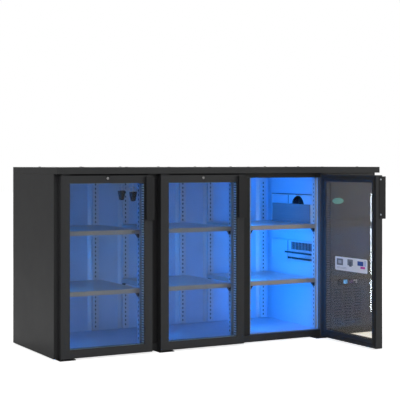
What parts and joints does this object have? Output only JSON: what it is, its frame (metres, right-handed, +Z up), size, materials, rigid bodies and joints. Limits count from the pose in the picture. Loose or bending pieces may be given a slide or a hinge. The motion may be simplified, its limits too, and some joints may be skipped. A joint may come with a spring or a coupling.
{
  "type": "undercounter refrigerator",
  "caption": "Low back-bar refrigerator with hinged glass doors, lit shelved compartments behind them and a louvred machine compartment at its right-hand end.",
  "frame": {"origin": "centre of the floor area that the object covers with its third door open, at floor level", "axes": "+X along the front towards the machine compartment, +Y from the doors to the back, +Z up"},
  "size_m": [1.876, 1.0794, 0.91],
  "materials": {
    "painted_steel": "satin anthracite paint",
    "door_paint": "satin anthracite paint",
    "black_steel": "satin black paint",
    "stainless_steel": "brushed",
    "zinc_steel": "dull",
    "fin_aluminium": "plain",
    "foam": "matte",
    "lamp_cover": "frosted",
    "black_plastic": "matte",
    "black_rubber": "matte",
    "clear_glass": "polished",
    "chrome": "polished"
  },
  "bodies": {
    "cabinet": {"back_panel": "painted_steel", "back_upright_1_left": "zinc_steel", "back_upright_1_right": "zinc_steel", "back_upright_2_left": "zinc_steel", "back_upright_2_right": "zinc_steel", "back_upright_3_left": "zinc_steel", "back_upright_3_right": "zinc_steel", "base_pan": "zinc_steel", "compressor": "black_steel", "condenser": "fin_aluminium", "controller": "black_plastic", "evaporator_coil": "fin_aluminium", "evaporator_cover": "stainless_steel", "foot_back_left": "black_rubber", "foot_back_right": "black_rubber", "foot_front_left": "black_rubber", "foot_front_right": "black_rubber", "front_header": "painted_steel", "front_upright_left": "zinc_steel", "front_upright_right": "zinc_steel", "hinge_bracket_1": "black_steel", "hinge_bracket_2": "black_steel", "hinge_bracket_3": "black_steel", "inner_liner": "stainless_steel", "insulation": "foam", "led_lamp_1": "lamp_cover", "led_lamp_2": "lamp_cover", "led_lamp_3": "lamp_cover", "machine_panel": "painted_steel", "mullion_1": "stainless_steel", "mullion_2": "stainless_steel", "shelf_1_lower": "zinc_steel", "shelf_1_upper": "zinc_steel", "shelf_2_lower": "zinc_steel", "shelf_2_upper": "zinc_steel", "shelf_3_lower": "zinc_steel", "shelf_3_upper": "zinc_steel", "side_panel_left": "painted_steel", "side_panel_right": "painted_steel", "top_cap": "painted_steel"},
    "door_1": {"door_1_frame": "door_paint", "door_1_glass": "clear_glass", "door_1_gasket": "black_rubber", "door_1_handle": "black_steel"},
    "door_2": {"door_2_frame": "door_paint", "door_2_glass": "clear_glass", "door_2_gasket": "black_rubber", "door_2_handle": "black_steel"},
    "door_3": {"door_3_frame": "door_paint", "door_3_glass": "clear_glass", "door_3_gasket": "black_rubber", "door_3_handle": "black_steel"},
    "lock_1": {"door_1_lock": "chrome"},
    "lock_2": {"door_2_lock": "chrome"},
    "lock_3": {"door_3_lock": "chrome"},
    "evaporator_fan": {"evaporator_fan": "black_plastic"},
    "condenser_fan": {"condenser_fan": "black_plastic"},
    "key_set": {"key_set": "black_plastic"},
    "key_up": {"key_up": "black_plastic"},
    "key_down": {"key_down": "black_plastic"}
  },
  "joints": [
    {"name": "door_1_swing", "type": "hinge", "parent": "cabinet", "child": "door_1", "pos_m": [-0.9108, -0.06935, 0.0095], "axis": [0, 0, -1], "range_deg": [0, 105]},
    {"name": "door_2_swing", "type": "hinge", "parent": "cabinet", "child": "door_2", "pos_m": [-0.3908, -0.06935, 0.0095], "axis": [0, 0, -1], "range_deg": [0, 105]},
    {"name": "door_3_swing", "type": "hinge", "parent": "cabinet", "child": "door_3", "pos_m": [0.5912, -0.06935, 0.0095], "axis": [0, 0, 1], "range_deg": [-90, 15]},
    {"name": "lock_1_turn", "type": "hinge", "parent": "door_1", "child": "lock_1", "pos_m": [-0.6798, -0.07535, 0.855], "axis": [0, -1, 0], "range_deg": [0, 90]},
    {"name": "lock_2_turn", "type": "hinge", "parent": "door_2", "child": "lock_2", "pos_m": [-0.1598, -0.07535, 0.855], "axis": [0, -1, 0], "range_deg": [0, 90]},
    {"name": "lock_3_turn", "type": "hinge", "parent": "door_3", "child": "lock_3", "pos_m": [0.5972, -0.30035, 0.855], "axis": [1, 0, 0], "range_deg": [0, 90]},
    {"name": "evaporator_fan_spin", "type": "hinge", "parent": "cabinet", "child": "evaporator_fan", "pos_m": [0.596, 0.16165, 0.69], "axis": [1, 0, 0], "continuous": true},
    {"name": "condenser_fan_spin", "type": "hinge", "parent": "cabinet", "child": "condenser_fan", "pos_m": [0.76736, 0.09215, 0.1915], "axis": [0, 1, 0], "continuous": true},
    {"name": "key_set_press", "type": "slide", "parent": "cabinet", "child": "key_set", "axis": [0, 1, 0], "range_m": [0, 0.001], "stiffness_N_per_m": 300},
    {"name": "key_up_press", "type": "slide", "parent": "cabinet", "child": "key_up", "axis": [0, 1, 0], "range_m": [0, 0.001], "stiffness_N_per_m": 300},
    {"name": "key_down_press", "type": "slide", "parent": "cabinet", "child": "key_down", "axis": [0, 1, 0], "range_m": [0, 0.001], "stiffness_N_per_m": 300}
  ]
}
